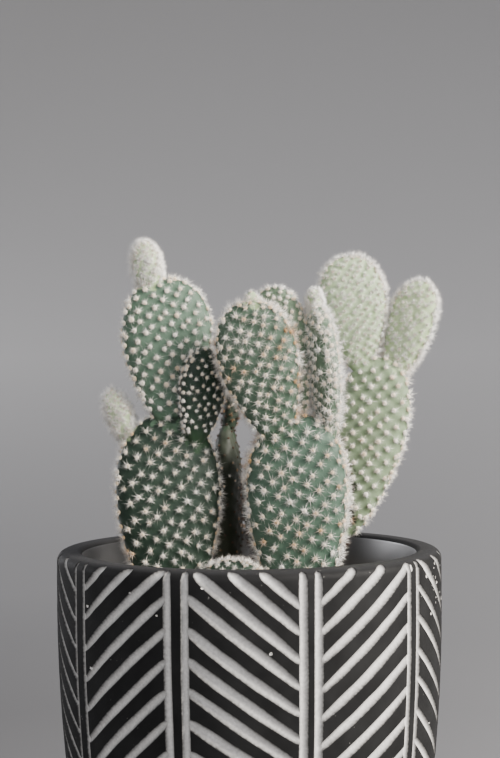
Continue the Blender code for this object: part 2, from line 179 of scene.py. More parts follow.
# Tufts: a felt cushion with long and short bristles. Each brush has the cushion's radius and the
# bristles' foot radius, and for long and for short ones their number, length and widest angle.
Brush = namedtuple("Brush", "cushion foot long long_length long_angle short short_length short_angle")
BRUSHES = {
    "star": Brush(0.72, 0.055, 28, 2.5, 88, 9, 1.6, 60),
    "ball": Brush(0.76, 0.07, 8, 2.1, 88, 27, 1.4, 80),
    "wool": Brush(0.50, 0.078, 32, 2.5, 66, 5, 1.7, 85),
    "down": Brush(0.66, 0.09, 46, 2.6, 64, 6, 1.5, 85),
}
KINDS_OF_EACH = 5
CUSHION_HEIGHT = 0.75
BRISTLE_ROOT = 0.35
BARE_FOOT = 3.0
MARGIN_TUFTS_PAST = 0.93
MARGIN_TUFTS = 1.12
MARGIN_RUST_PAST = 0.85
MARGIN_RUST = 0.25

# Tint of tufts, from white at 0 to scorched at 1, whose dark end is also painted shade on pads in shadow:
# its middle, its drift over the plant and its scatter
TINT = 0.15
TINT_DRIFT = 0.2
TINT_SCATTER = 0.12
RUST_DRIFT = 1.6

# Soil
SOIL_LEVEL = 100.5
SOIL_LUMP = 0.9
SOIL_GAP = 0.35
SOIL_STEP = 1.2
SOIL_SIDES = 150
Grit = namedtuple("Grit", "count sizes flatness")
PUMICE = Grit(330, (0.8, 2.3), 0.8)
BARK = Grit(330, (1.1, 3.0), 0.34)
GRAIN_SPACING = 0.72
GRAIN_LIFT = 0.35

# The studio: a floor that sweeps up into a round wall
SWEEP_START = 500.0
SWEEP_RADIUS = 1300.0
STUDIO_TOP = 2200.0
STUDIO_SIDES = 96


def srgb(code):
    """Linear RGBA of a colour written as six hex digits."""
    parts = [int(code[i:i + 2], 16) / 255 for i in (0, 2, 4)]
    return (*[c / 12.92 if c <= 0.04045 else ((c + 0.055) / 1.055) ** 2.4 for c in parts], 1.0)


def add(tree, kind, sockets=None, **settings):
    """Adds a node. Each entry of sockets is a value, or another node's output to link to."""
    made = tree.nodes.new(kind)
    for name, value in settings.items():
        setattr(made, name, value)
    for name, value in (sockets or {}).items():
        if isinstance(value, bpy.types.NodeSocket):
            tree.links.new(value, made.inputs[name])
        else:
            made.inputs[name].default_value = value
    return made


def surface(name, **sockets):
    """A Principled material, its tree and its shader, with the sockets that are the same all over."""
    made = bpy.data.materials.new(name)
    made.use_nodes = True
    shader = made.node_tree.nodes["Principled BSDF"]
    for socket, value in sockets.items():
        shader.inputs[socket.replace("_", " ")].default_value = value
    return made, made.node_tree, shader


def ramp(tree, factor, *stops):
    """The colour that a factor picks from (position, hex colour) stops."""
    made = add(tree, "ShaderNodeValToRGB", {"Fac": factor})
    while len(made.color_ramp.elements) < len(stops):
        made.color_ramp.elements.new(0.5)
    for element, (position, code) in zip(made.color_ramp.elements, stops):
        element.position = position
        element.color = srgb(code)
    return made.outputs["Color"]


def span(tree, factor, low, high, low_to, high_to):
    """A factor stretched from one range onto another."""
    made = add(tree, "ShaderNodeMapRange", {"Value": factor, "From Min": low, "From Max": high,
                                            "To Min": low_to, "To Max": high_to})
    return made.outputs["Result"]


def blend_colours(tree, factor, first, second):
    """The first colour, going over into the second as the factor goes from 0 to 1."""
    made = add(tree, "ShaderNodeMix", data_type="RGBA")
    for socket, value in (("Factor_Float", factor), ("A_Color", first), ("B_Color", second)):
        target = next(s for s in made.inputs if s.identifier == socket)
        if isinstance(value, bpy.types.NodeSocket):
            tree.links.new(value, target)
        else:
            target.default_value = value
    return next(s for s in made.outputs if s.identifier == "Result_Color")


def speckle(tree, place, size, detail=4.0, kind="ShaderNodeTexNoise", output="Fac", **settings):
    """A noise whose grains are about size millimetres across."""
    made = add(tree, kind, {"Vector": place, "Scale": 1 / (size * MM)}, **settings)
    if "Detail" in made.inputs:
        made.inputs["Detail"].default_value = detail
    return made.outputs[output]


def roughen(tree, shader, height, distance, strength, previous=None):
    """Bump of a height map that is distance millimetres deep."""
    sockets = {"Height": height, "Distance": distance * MM, "Strength": strength}
    made = add(tree, "ShaderNodeBump", sockets)
    if previous is not None:
        tree.links.new(previous, made.inputs["Normal"])
    tree.links.new(made.outputs["Normal"], shader.inputs["Normal"])
    return made.outputs["Normal"]


def black_slip():
    """Vitrified black slip on a turned wall: satin, faintly mottled, with a painted highlight: lighter grey
    along the rim's top.
    """
    made, tree, shader = surface("black slip", IOR=1.45, Specular_IOR_Level=0.12)
    place = add(tree, "ShaderNodeTexCoord").outputs["Object"]
    cloud = speckle(tree, place, 9.0)
    grain = speckle(tree, place, 0.7)
    body = ramp(tree, cloud, (0.3, "1b1b1b"), (0.7, "262626"))
    worn = span(tree, speckle(tree, place, 0.9, detail=2.0), 0.735, 0.76, 0.0, 1.0)
    scuffed = span(tree, speckle(tree, place, 26.0, detail=5.0), 0.52, 0.62, 0.0, 1.0)
    spots = add(tree, "ShaderNodeMath", {0: worn, 1: scuffed}, operation="MULTIPLY").outputs[0]
    height = add(tree, "ShaderNodeSeparateXYZ", {"Vector": place}).outputs["Z"]
    # Painted highlight: the top millimetre of the rim is made lighter grey
    near_rim_top = span(tree, height, (POT_HEIGHT - 1.0) * MM, POT_HEIGHT * MM, 0.0, 1.0)
    with_painted_rim_highlight = blend_colours(tree, near_rim_top, body, srgb("323233"))
    tree.links.new(blend_colours(tree, spots, with_painted_rim_highlight, srgb("8f8d89")), shader.inputs["Base Color"])
    tree.links.new(span(tree, grain, 0.3, 0.7, 0.52, 0.64), shader.inputs["Roughness"])
    fine = roughen(tree, shader, grain, 0.03, 0.5)
    roughen(tree, shader, cloud, 0.25, 0.35, fine)
    return made


def black_glaze():
    """Lustrous black glaze on the inside: satin, with the faint ripple of a poured coat."""
    made, tree, shader = surface("black glaze", IOR=2.5, Coat_Weight=1.0, Coat_Roughness=0.28)
    place = add(tree, "ShaderNodeTexCoord").outputs["Object"]
    ripple = speckle(tree, place, 14.0, detail=2.0)
    tree.links.new(ramp(tree, ripple, (0.3, "131314"), (0.7, "1b1b1c")), shader.inputs["Base Color"])
    tree.links.new(span(tree, speckle(tree, place, 9.0), 0.3, 0.7, 0.3, 0.36), shader.inputs["Roughness"])
    roughen(tree, shader, ripple, 0.04, 0.12)
    return made


def depth_below_skin(points):
    """How deep points of the pot's outside lie under its turned surface."""
    radius, height = np.hypot(points[:, 0], points[:, 1]), points[:, 2]
    below = np.maximum(0, POT_HEIGHT - height - UPRIGHT_DEPTH)
    over = np.maximum(0, height - POT_HEIGHT + RIM_ROUNDING)
    middle = RIM_RADIUS - TAPER * below ** 2 - RIM_ROUNDING
    return RIM_ROUNDING - np.hypot(np.maximum(radius - middle, 0), over)


def bare_clay(name, slip_and_painted_shade):
    """Pale fired clay laid bare, chalky. Where asked, the shoulders of the carving are darkened: near the
    edge by slip left there, deeper down by painted shade.
    """
    made, tree, shader = surface(name, IOR=1.45)
    place = add(tree, "ShaderNodeTexCoord").outputs["Object"]
    grain = speckle(tree, place, 0.5)
    cloud = speckle(tree, place, 5.0)
    chalk = ramp(tree, cloud, (0.3, "e0deda"), (0.7, "f1efeb"))
    dusty = blend_colours(tree, span(tree, grain, 0.62, 0.8, 0.0, 0.3), chalk, srgb("8b8985"))
    if slip_and_painted_shade:
        torn = span(tree, speckle(tree, place, 0.8), 0.3, 0.7, -0.12, 0.12)
        depth = read_attribute(tree, "depth")
        frayed = add(tree, "ShaderNodeMath", {0: depth, 1: torn}, operation="ADD").outputs[0]
        # Darker shoulders: slip left at the edge, then painted shade down most of the groove
        clay_past_slip_and_shade = span(tree, frayed, SLIP_DEPTH, SLIP_AND_SHADE_DEPTH, 0.0, 1.0)
        dusty = blend_colours(tree, clay_past_slip_and_shade, srgb("262626"), dusty)
    tree.links.new(dusty, shader.inputs["Base Color"])
    tree.links.new(span(tree, grain, 0.3, 0.7, 0.8, 0.95), shader.inputs["Roughness"])
    roughen(tree, shader, grain, 0.06, 0.8)
    return made


def select_only(piece):
    bpy.ops.object.select_all(action="DESELECT")
    piece.select_set(True)
    bpy.context.view_layer.objects.active = piece


def last_added(name):
    """The primitive just added, named and with its place taken into its mesh."""
    made = bpy.context.object
    made.name = name
    made.data.name = name
    select_only(made)
    bpy.ops.object.transform_apply(location=True, rotation=True, scale=True)
    return made


def points_of(piece):
    """A piece's vertices in millimetres."""
    flat = np.empty(len(piece.data.vertices) * 3, np.float32)
    piece.data.vertices.foreach_get("co", flat)
    return flat.reshape(-1, 3).astype(float) / MM


def set_points(piece, points):
    piece.data.vertices.foreach_set("co", (np.asarray(points) * MM).astype(np.float32).ravel())
    piece.data.update()


def turned_wall(name, rings, sides):
    """A wall of rings, each drawn from the last and resized, closed by the first and last."""
    radius, height = rings[0]
    bpy.ops.object.select_all(action="DESELECT")
    bpy.ops.mesh.primitive_circle_add(vertices=sides, radius=radius * MM, fill_type="NGON",
                                      location=(0, 0, height * MM))
    made = last_added(name)
    bpy.ops.object.mode_set(mode="EDIT")
    bpy.ops.mesh.select_mode(type="EDGE")
    bpy.ops.mesh.select_all(action="SELECT")
    for next_radius, next_height in rings[1:]:
        rise = (0, 0, (next_height - height) * MM)
        bpy.ops.mesh.extrude_edges_move(TRANSFORM_OT_translate={"value": rise})
        grow = next_radius / radius
        bpy.ops.transform.resize(value=(grow, grow, 1), center_override=(0, 0, 0))
        radius, height = next_radius, next_height
    bpy.ops.mesh.edge_face_add()
    bpy.ops.mesh.select_all(action="SELECT")
    bpy.ops.mesh.normals_make_consistent(inside=False)
    bpy.ops.object.mode_set(mode="OBJECT")
    return made


def arc(centre, radius, start, end, steps):
    """Points of an arc from one angle to another."""
    angles = np.radians(np.linspace(start, end, steps + 1))
    return [(centre[0] + radius * math.cos(a), centre[1] + radius * math.sin(a)) for a in angles]


def outer_radius(height):
    """Radius of the pot's outside, with its rounded rim."""
    below = max(0.0, POT_HEIGHT - height - UPRIGHT_DEPTH)
    over = max(0.0, height - (POT_HEIGHT - RIM_ROUNDING))
    rounding = RIM_ROUNDING - math.sqrt(max(0.0, RIM_ROUNDING ** 2 - over ** 2))
    return RIM_RADIUS - TAPER * below ** 2 - rounding


def inner_radius(height):
    """Radius of the inside: the wall is thinnest at the rim, and below it follows the outside."""
    depth = min(1.0, max(0.0, POT_HEIGHT - height) / FLARE_DEPTH)
    below = max(0.0, POT_HEIGHT - height - UPRIGHT_DEPTH)
    return RIM_RADIUS - TAPER * below ** 2 - WALL - FLARE * depth


def pot_rings():
    """From the edge of the base up the outside, over the rim and down the inside to the floor."""
    rim_z = POT_HEIGHT - RIM_ROUNDING
    floor_z = BASE_THICKNESS + FLOOR_ROUNDING
    foot = (outer_radius(FOOT_ROUNDING) - FOOT_ROUNDING, FOOT_ROUNDING)
    rings = arc(foot, FOOT_ROUNDING, -90, 0, ROUNDING_STEPS)
    heights = np.linspace(FOOT_ROUNDING, rim_z, round((rim_z - FOOT_ROUNDING) / WALL_STEP) + 1)
    rings += [(outer_radius(height), height) for height in heights[1:-1]]
    rings += arc((RIM_RADIUS - RIM_ROUNDING, rim_z), RIM_ROUNDING, 0, 90, ROUNDING_STEPS)
    mouth_z = POT_HEIGHT - MOUTH_ROUNDING
    rings += arc((inner_radius(mouth_z) + MOUTH_ROUNDING, mouth_z), MOUTH_ROUNDING, 90, 180, ROUNDING_STEPS)
    heights = np.linspace(mouth_z, floor_z, round((mouth_z - floor_z) / (2 * WALL_STEP)) + 1)
    rings += [(inner_radius(height), height) for height in heights[1:-1]]
    rings += arc((inner_radius(floor_z) - FLOOR_ROUNDING, floor_z), FLOOR_ROUNDING, 0, -90, 3)
    return rings


def wall_frame(azimuth, height):
    """Points on the pot's outside and the outward normals there. Azimuth 0 faces -Y."""
    step = 0.05
    radius = np.array([outer_radius(h) for h in height])
    slope = (np.array([outer_radius(h + step) for h in height]) - radius) / step
    out = np.stack([np.sin(azimuth), -np.cos(azimuth), np.zeros_like(azimuth)], axis=1)
    normal = out - slope[:, None] * np.array([0, 0, 1])
    normal /= np.linalg.norm(normal, axis=1)[:, None]
    return out * radius[:, None] + np.array([0, 0, 1]) * height[:, None], normal


def carved_line(blank, start, end, width, thin_start, thin_end, rng):
    """A gouge's cut from one (azimuth, height) to another: round in section and at its ends, unsteady."""
    local = points_of(blank) * MM
    along = (1 - local[:, 2]) / 2
    angle = np.arctan2(local[:, 1], local[:, 0])
    sway, beat = rng.normal(0, SWAY), rng.uniform(1.5, 3.5)
    phase = rng.uniform(0, math.tau)

    def route(share):
        azimuth = np.radians(start[0] + (end[0] - start[0]) * share)
        height = start[1] + (end[1] - start[1]) * share
        height = height + sway * np.sin(math.pi * share)
        return azimuth, height + WOBBLE * np.sin(beat * math.tau * share + phase)

    place, normal = wall_frame(*route(along))
    ahead = wall_frame(*route(along + 0.01))[0] - wall_frame(*route(along - 0.01))[0]
    side = np.cross(ahead, normal)
    side /= np.linalg.norm(side, axis=1)[:, None]
    length = np.linalg.norm(ahead, axis=1).mean() / 0.02
    from_end = np.minimum(along, 1 - along) * length
    rounded = np.sqrt(1 - (1 - np.clip(from_end / (0.6 * width), 0, 1)) ** 2)
    full = 1 - thin_start * np.exp(-along * length / START_REACH)
    full = full - thin_end * np.exp(-(1 - along) * length / END_REACH)
    uneven = 1 + 0.03 * np.sin(1.3 * beat * math.tau * along + 2 * phase)
    size = width * rounded * full * uneven
    across = size / 2 * np.cos(angle)
    bowed = -CUT_DEPTH * np.sqrt(rounded) * full * uneven * np.abs(np.sin(angle)) ** 1.6
    depth = np.where(np.sin(angle) < 0, bowed, CUT_OUTSIDE * rounded * np.sin(angle))
    cut = blank.copy()
    cut.data = blank.data.copy()
    set_points(cut, place + side * across[:, None] + normal * depth[:, None])
    return cut


def shortened(start, end, limit, keep_below):
    """A line's ends, cut off where it would pass a height. None if all of it would."""
    low, high = sorted((start, end), key=lambda spot: spot[1])
    if (low[1] > limit) if keep_below else (high[1] < limit):
        return None
    stray, kept = (high, low) if keep_below else (low, high)
    if (stray[1] > limit) == keep_below:
        share = (limit - kept[1]) / (stray[1] - kept[1])
        stray = (kept[0] + (stray[0] - kept[0]) * share, limit)
    return (kept, stray) if start == kept or start[1] == kept[1] else (stray, kept)


def chevron_cuts(blank, rng):
    """All the carved lines round the pot."""
    middles = [FIRST_PAIR + 360 / PANELS * k + PAIR_SHIFTS[k] for k in range(PANELS)]
    gaps = [math.degrees(PAIR_GAPS[k] / RIM_RADIUS) / 2 for k in range(PANELS)]
    cuts = []
    for k in range(PANELS):
        for side in (-gaps[k], gaps[k]):
            azimuth = middles[k] + side
            top = (azimuth, PAIR_TOPS[k] + rng.normal(0, 0.03))
            foot = (azimuth + rng.normal(0, 0.25), CARVED_FOOT + rng.normal(0, 0.5))
            cuts.append(carved_line(blank, top, foot, UPRIGHT_WIDTHS[k], UPRIGHT_THINNING, 0.0, rng))
    for k in range(PANELS):
        left = middles[k] + gaps[k]
        right = middles[(k + 1) % PANELS] + (360 if k == PANELS - 1 else 0) - gaps[(k + 1) % PANELS]
        for i in range(-SLANTS_ABOVE, SLANTS_BELOW):
            high_z = FIRST_SLANTS[k] - i * HIGH_PITCHES[k] + rng.normal(0, 0.2)
            low_z = FIRST_SLANTS[k] - RISES[k] - i * LOW_PITCHES[k] + rng.normal(0, 0.2)
            full = [(left, low_z), (right, high_z)] if k % 2 == 0 else [(right, low_z), (left, high_z)]
            ends = shortened(*full, CARVED_TOP + rng.normal(0, 0.05), True)
            ends = ends and shortened(*ends, CARVED_FOOT + rng.normal(0, 0.5), False)
            if ends and abs(ends[0][1] - ends[1][1]) > SHORTEST_RISE:
                low, high = sorted(ends, key=lambda spot: spot[1])
                width = SLANT_WIDTHS[k] * rng.uniform(0.93, 1.06)
                thin_low = JOINED_FOOT_THINNING if low in full else CUT_OFF_FOOT_THINNING
                thin_high = JOINED_HEAD_THINNING if high in full else 0.0
                cuts.append(carved_line(blank, low, high, width, thin_low, thin_high, rng))
    return cuts


def chip_cuts(rng, clay):
    """Small flakes knocked off the slip, most of them beside the carving or where the rim was bumped."""
    spots = list(CHIP_SPOTS)
    azimuth, height, wide, high = WORN_PATCH
    for _ in range(WORN_CHIPS):
        spot = rng.normal(azimuth, wide), min(CHIPS_BELOW, rng.normal(height, high))
        spots.append((*spot, rng.uniform(*WORN_CHIP_SIZES)))
    for _ in range(STRAY_CHIPS):
        spots.append((rng.uniform(75, 300), rng.uniform(20, 113), rng.uniform(*STRAY_CHIP_SIZES)))
    chips = []
    for azimuth, height, size in spots:
        place, normal = wall_frame(np.radians([azimuth]), np.array([height]))
        bpy.ops.mesh.primitive_ico_sphere_add(subdivisions=1, radius=MM)
        chip = last_added("chip")
        shape = points_of(chip) * size * rng.uniform(0.7, 1.3, 3)
        shape += rng.normal(0, 0.2 * size, shape.shape)
        shape[:, 2] *= CHIP_DEPTH / size
        turn = np.array(Vector(normal[0]).to_track_quat("Z", "Y").to_matrix())
        set_points(chip, shape @ turn.T + place[0])
        chip.data.materials.append(clay)
        chips.append(chip)
    return chips


def carved_pot():
    """The turned pot with its carving cut through the black to the clay."""
    rng = np.random.default_rng(5)
    slip, glaze = black_slip(), black_glaze()
    pot = turned_wall("carved_pot", pot_rings(), POT_SIDES)
    pot.data.materials.append(slip)
    pot.data.materials.append(glaze)
    for face in pot.data.polygons:
        radius, height = math.hypot(face.center.x, face.center.y) / MM, face.center.z / MM
        inside = radius < RIM_RADIUS - WALL + 0.1 and BASE_THICKNESS / 2 < height < POT_HEIGHT - 1
        face.material_index = 1 if inside else 0
    bpy.ops.object.select_all(action="DESELECT")
    bpy.ops.mesh.primitive_uv_sphere_add(segments=12, ring_count=20, radius=1)
    blank = bpy.context.object
    blank.data.materials.append(bare_clay("carved clay", True))
    cuts = chevron_cuts(blank, rng)
    cuts += chip_cuts(rng, bare_clay("chipped clay", False))
    apply_boolean(pot, cuts, "DIFFERENCE")
    bpy.data.objects.remove(blank)
    add_attribute(pot, "depth", depth_below_skin(points_of(pot)))
    select_only(pot)
    bpy.ops.object.shade_smooth_by_angle(angle=math.radians(44))
    return pot


def apply_boolean(piece, others, operation):
    """Cuts a piece with the others or grows it together with them, and they go."""
    gathered = bpy.data.collections.new("others")
    bpy.context.scene.collection.children.link(gathered)
    for other in others:
        for home in other.users_collection:
            home.objects.unlink(other)
        gathered.objects.link(other)
    join = piece.modifiers.new("others", "BOOLEAN")
    join.operation = operation
    join.operand_type = "COLLECTION"
    join.collection = gathered
    join.solver = "MANIFOLD"
    join.material_mode = "TRANSFER"
    select_only(piece)
    bpy.ops.object.modifier_apply(modifier=join.name)
    for other in others:
        bpy.data.objects.remove(other)
    bpy.data.collections.remove(gathered)


def studio():
    """A pale floor that sweeps up into a wall far off, with painted shade: darker to the left and near the
    pot, lighter up the wall.
    """
    made, tree, shader = surface("studio paper", Roughness=0.9)
    place = add(tree, "ShaderNodeTexCoord").outputs["Object"]
    parts = add(tree, "ShaderNodeSeparateXYZ", {"Vector": place}).outputs
    # Painted shade: the floor darkens to the left and towards the pot, and lightens where it rises into the
    # wall
    side = span(tree, parts["X"], -0.3, 0.3, 0.0, 1.0)
    near = ramp(tree, side, (0.0, "444446"), (1.0, "7d7d7f"))
    far = ramp(tree, side, (0.0, "6a6a6c"), (1.0, "858587"))
    away = add(tree, "ShaderNodeVectorMath", {0: place}, operation="LENGTH").outputs["Value"]
    floor = blend_colours(tree, span(tree, away, 0.3, 0.65, 0.0, 1.0), near, far)
    up = span(tree, parts["Z"], -0.01, 0.2, 0.0, 1.0)
    tree.links.new(blend_colours(tree, up, floor, srgb("a8a8aa")), shader.inputs["Base Color"])
    rings = [(200.0, 0.0), (SWEEP_START, 0.0)]
    rings += arc((SWEEP_START, SWEEP_RADIUS), SWEEP_RADIUS, -90, 0, 16)[1:]
    rings += [(SWEEP_START + SWEEP_RADIUS, STUDIO_TOP)]
    bpy.ops.object.select_all(action="DESELECT")
    backdrop = turned_wall("backdrop", rings, STUDIO_SIDES)
    select_only(backdrop)
    bpy.ops.object.mode_set(mode="EDIT")
    bpy.ops.mesh.select_mode(type="FACE")
    bpy.ops.mesh.select_all(action="DESELECT")
    bpy.ops.object.mode_set(mode="OBJECT")
    for face in backdrop.data.polygons:
        face.select = face.center.z > (STUDIO_TOP - 1) * MM
    bpy.ops.object.mode_set(mode="EDIT")
    bpy.ops.mesh.delete(type="ONLY_FACE")
    bpy.ops.mesh.select_all(action="SELECT")
    bpy.ops.mesh.flip_normals()
    bpy.ops.object.mode_set(mode="OBJECT")
    bpy.ops.object.shade_smooth()
    backdrop.data.materials.append(made)


def light(name, place, aim, width, height, power, colour):
    """A soft rectangle of light, in watts, that the camera doesn't see."""
    bpy.ops.object.light_add(type="AREA", location=Vector(place) * MM)
    made = bpy.context.object
    made.name = name
    made.data.shape = "RECTANGLE"
    made.data.size = width * MM
    made.data.size_y = height * MM
    made.data.energy = power
    made.data.color = srgb(colour)[:3]
    made.rotation_euler = (Vector(aim) * MM - made.location).to_track_quat("-Z", "Y").to_euler()
    made.visible_camera = False


def lights():
    """A window at the front right, with cards and a pale ceiling that fill its shadows."""
    world = bpy.data.worlds.new("studio air")
    bpy.context.scene.world = world
    world.use_nodes = True
    world.node_tree.nodes["Background"].inputs["Color"].default_value = srgb("e8ebf0")
    world.node_tree.nodes["Background"].inputs["Strength"].default_value = 0.3
    middle = (0, 0, 140)
    light("window", (800, -350, 610), middle, 400, 400, 30.0, "fff9f2")
    light("front card", (60, -1050, 600), middle, 800, 450, 5.0, "fbfbff")
    light("ceiling", (0, 300, 1300), middle, 1400, 1400, 5.0, "f4f7ff")
    light("left card", (-950, 500, 285), (0, 0, 110), 1400, 500, 7.6, "f6f6fa")


def camera():
    """The photograph's viewpoint."""
    bpy.ops.object.camera_add()
    made = bpy.context.object
    made.location = (0, -CAMERA_BACK * MM, (POT_HEIGHT + CAMERA_ABOVE_RIM) * MM)
    level = Matrix.Rotation(math.radians(90 + CAMERA_TIP), 4, "X")
    aside = Matrix.Rotation(math.radians(-CAMERA_ASIDE), 4, "Z")
    roll = Matrix.Rotation(math.radians(-CAMERA_ROLL), 4, "Z")
    made.rotation_euler = (aside @ level @ roll).to_euler()
    made.data.sensor_fit = "AUTO"
    made.data.sensor_width = SENSOR
    made.data.lens = FOCAL_PIXELS * SENSOR / PHOTO_HEIGHT
    made.data.clip_start = 0.01
    made.data.clip_end = 20
    bpy.context.scene.camera = made


def placed(piece, slot, *nodes):
    """Gives a piece its body and hides the solids that it stands for; its finish's slot is not used."""
    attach(piece, "root")
    if nodes:
        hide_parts(*nodes)


def girth(phi, egg):
    """Share of a pad's full width, from the base at phi 0 to the tip at phi pi."""
    return np.sin(phi) * (1 - egg * np.cos(phi)) / (1 + 0.48 * egg ** 2)


def half_sizes(pad, phi):
    width = pad.width / 2 * girth(phi, pad.egg)
    thickness = pad.thickness / 2 * ((1 - EDGE_SHARE) * girth(phi, pad.egg) + EDGE_SHARE * np.sin(phi))
    return width, thickness


def section(pad, phi, angle):
    """Points of a pad's skin in its own frame, whose Z runs from base to tip."""
    width, thickness = half_sizes(pad, phi)
    c, s = np.cos(angle), np.sin(angle)
    x = width * np.sign(c) * np.abs(c) ** (2 / SECTION_POWER)
    y = thickness * np.sign(s) * np.abs(s) ** (2 / SECTION_POWER)
    return np.stack([x, y, np.broadcast_to(pad.length / 2 * (1 - np.cos(phi)), x.shape)], axis=-1)


def walked(points):
    """Distance gone at each point of a line of points."""
    return np.concatenate([[0], np.cumsum(np.linalg.norm(np.diff(points, axis=0), axis=1))])


def placing(pad):
    """Matrix from a pad's own frame to the pot's."""
    lean = Matrix.Rotation(math.radians(pad.lean), 4, "Y")
    back = Matrix.Rotation(-math.radians(pad.back), 4, "X")
    turn = Matrix.Rotation(math.radians(pad.turn), 4, "Z")
    return np.array(Matrix.Translation(pad.base) @ lean @ back @ turn)


def moved(matrix, points):
    return points @ matrix[:3, :3].T + matrix[:3, 3]


def depth_in(pad, points):
    """How far inside a pad points lie, as a share of its size: above 0 inside, below 0 outside."""
    local = moved(np.linalg.inv(placing(pad)), points)
    along = np.clip(1 - 2 * local[:, 2] / pad.length, -0.9999, 0.9999)
    width, thickness = half_sizes(pad, np.arccos(along))
    spread = np.abs(local[:, 0] / width) ** SECTION_POWER + np.abs(local[:, 1] / thickness) ** SECTION_POWER
    beyond = np.maximum(-local[:, 2], local[:, 2] - pad.length) > 0
    return np.where(beyond, -1, 1 - spread)


def areoles(pad, rng):
    """Areoles in crossing spirals, each with an equal share of the skin, and a closer row on the margin."""
    phis = np.linspace(0, math.pi, ARC_SAMPLES)
    angles = np.linspace(0, math.tau, ARC_SAMPLES)
    grid = np.array([section(pad, phi, angles) for phi in phis])
    patches = np.linalg.norm(np.cross(np.diff(grid, axis=0)[:, 1:], np.diff(grid, axis=1)[:-1]), axis=2)
    covered = np.concatenate([[0], np.cumsum(patches.sum(axis=1))])
    count = round(covered[-1] / (pad.spacing ** 2 * math.sin(math.pi / 3)))
    spots = []
    for i in range(count):
        phi = np.interp((i + 0.5) / count * covered[-1], covered, phis) + rng.normal(0, 0.005)
        row = patches[min(max(int(phi / math.pi * (ARC_SAMPLES - 1)), 0), ARC_SAMPLES - 2)]
        walk = np.concatenate([[0], np.cumsum(row)])
        share = (i * GOLDEN_TURN + rng.normal(0, 0.0015)) % 1
        spots.append(section(pad, phi, np.interp(share * walk[-1], walk, angles)))
    if pad.brush == "down" or pad.width < 5 or pad.rust > 0.4:
        return np.array(spots)
    edge = np.concatenate([section(pad, phis, 0 * phis), section(pad, phis[::-1], 0 * phis + math.pi)])
    gone = walked(edge)
    steps = np.arange(0, gone[-1], MARGIN_SPACING * pad.spacing) + rng.normal(0, 0.12)
    row = np.stack([np.interp(steps, gone, edge[:, axis]) for axis in range(3)], axis=1)
    row[:, 1] += np.where(np.arange(len(row)) % 2, MARGIN_ZIGZAG, -MARGIN_ZIGZAG) * pad.thickness
    _, gap = nearest(tree_of(row), spots)
    return np.concatenate([np.array(spots)[gap > MARGIN_CLEARANCE * pad.spacing], row])


def tree_of(points):
    tree = kdtree.KDTree(len(points))
    for i, point in enumerate(points):
        tree.insert(point, i)
    tree.balance()
    return tree


def nearest(tree, points):
    """Numbers of the nearest points in a tree, and the distances to them."""
    found = [tree.find(point) for point in points]
    return np.array([f[1] for f in found]), np.array([f[2] for f in found])


def waves(points, size, seed=0.0):
    """Smooth noise between about -1 and 1, whose bumps are size millimetres across."""
    return np.array([noise.noise(Vector(p) / size + Vector((seed, seed, seed))) for p in points])


def pad_skin(name, pad, spots, seed):
    """A pad's skin: a sphere flattened to the pad, uneven, and swollen under each areole."""
    widest = section(pad, 0.58 * math.pi, np.linspace(0, math.tau, ARC_SAMPLES))
    edge = section(pad, np.linspace(0, math.pi, ARC_SAMPLES), np.zeros(ARC_SAMPLES))
    around, up = walked(widest), walked(edge)
    segments, rings = round(around[-1] / SKIN_STEP / 4) * 4, round(up[-1] / SKIN_STEP)
    bpy.ops.object.select_all(action="DESELECT")
    bpy.ops.mesh.primitive_uv_sphere_add(segments=segments, ring_count=rings, radius=MM)
    made = last_added(name)
    ball = points_of(made)
    share_up = np.arccos(np.clip(-ball[:, 2], -1, 1)) / math.pi
    share_round = (np.arctan2(ball[:, 1], ball[:, 0]) / math.tau) % 1
    phi = np.interp(share_up * up[-1], up, np.linspace(0, math.pi, ARC_SAMPLES))
    angle = np.interp(share_round * around[-1], around, np.linspace(0, math.tau, ARC_SAMPLES))
    shape = section(pad, phi, angle)
    set_points(made, shape)
    flat = np.empty(len(shape) * 3, np.float32)
    made.data.vertices.foreach_get("normal", flat)
    normals = flat.reshape(-1, 3)
    _, gap = nearest(tree_of(spots), shape)
    low_bump = np.exp(-(gap / (SWELLING_REACH * pad.spacing)) ** 2)
    dimple = np.exp(-(gap / DIMPLE_RADIUS) ** 2)
    swell = SWELLING * pad.spacing / 4 * low_bump - DIMPLING * dimple
    uneven = UNEVENNESS * waves(shape, UNEVEN_OVER, seed) * np.sin(phi)
    uneven = uneven + PUCKERING * waves(shape, PUCKERED_OVER, seed)
    skin = shape + normals * (swell + uneven)[:, None]
    seats, _ = nearest(tree_of(shape), spots)
    matrix = placing(pad)
    set_points(made, moved(matrix, skin))
    return made, moved(matrix, skin[seats]), normals[seats] @ matrix[:3, :3].T


def add_attribute(piece, name, values):
    made = piece.data.attributes.new(name, "FLOAT", "POINT")
    made.data.foreach_set("value", np.asarray(values, np.float32))


def read_attribute(tree, name):
    return add(tree, "ShaderNodeAttribute", attribute_name=name).outputs["Fac"]


